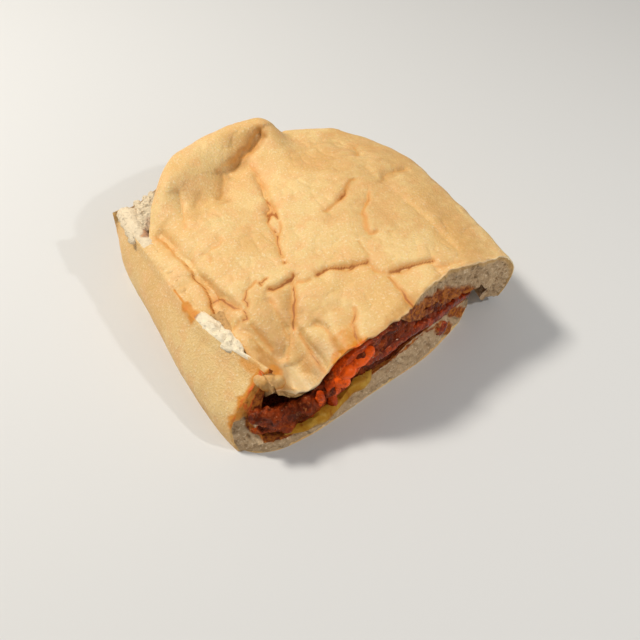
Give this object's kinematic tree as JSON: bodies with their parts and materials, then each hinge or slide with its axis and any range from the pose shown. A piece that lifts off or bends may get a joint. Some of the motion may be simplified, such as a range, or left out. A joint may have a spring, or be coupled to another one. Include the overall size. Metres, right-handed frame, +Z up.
{
  "type": "pizza sandwich",
  "caption": "Half of a soft bread roll filled with sauced meat, melted cheese and tomato sauce, cut across, with a wrinkled golden crust.",
  "frame": {"origin": "under the middle of the sandwich's bounding box, on the surface that it rests on", "axes": "+X along the cut, to the right as the cut is faced; +Y from the cut to the roll's rounded end; +Z up"},
  "size_m": [0.1324, 0.1412, 0.0438],
  "materials": {
    "crust": "golden bread crust, soft satin",
    "crumb": "matt bread crumb and pale crust",
    "meat": "sauced meat, wet",
    "cheese": "melted cheese, soft sheen",
    "sauce": "tomato sauce, wet"
  },
  "bodies": {
    "root": {"top_bread": "crust", "bottom_bread": "crumb", "meat_filling": "meat", "melted_cheese": "cheese", "tomato_sauce": "sauce"}
  },
  "joints": []
}
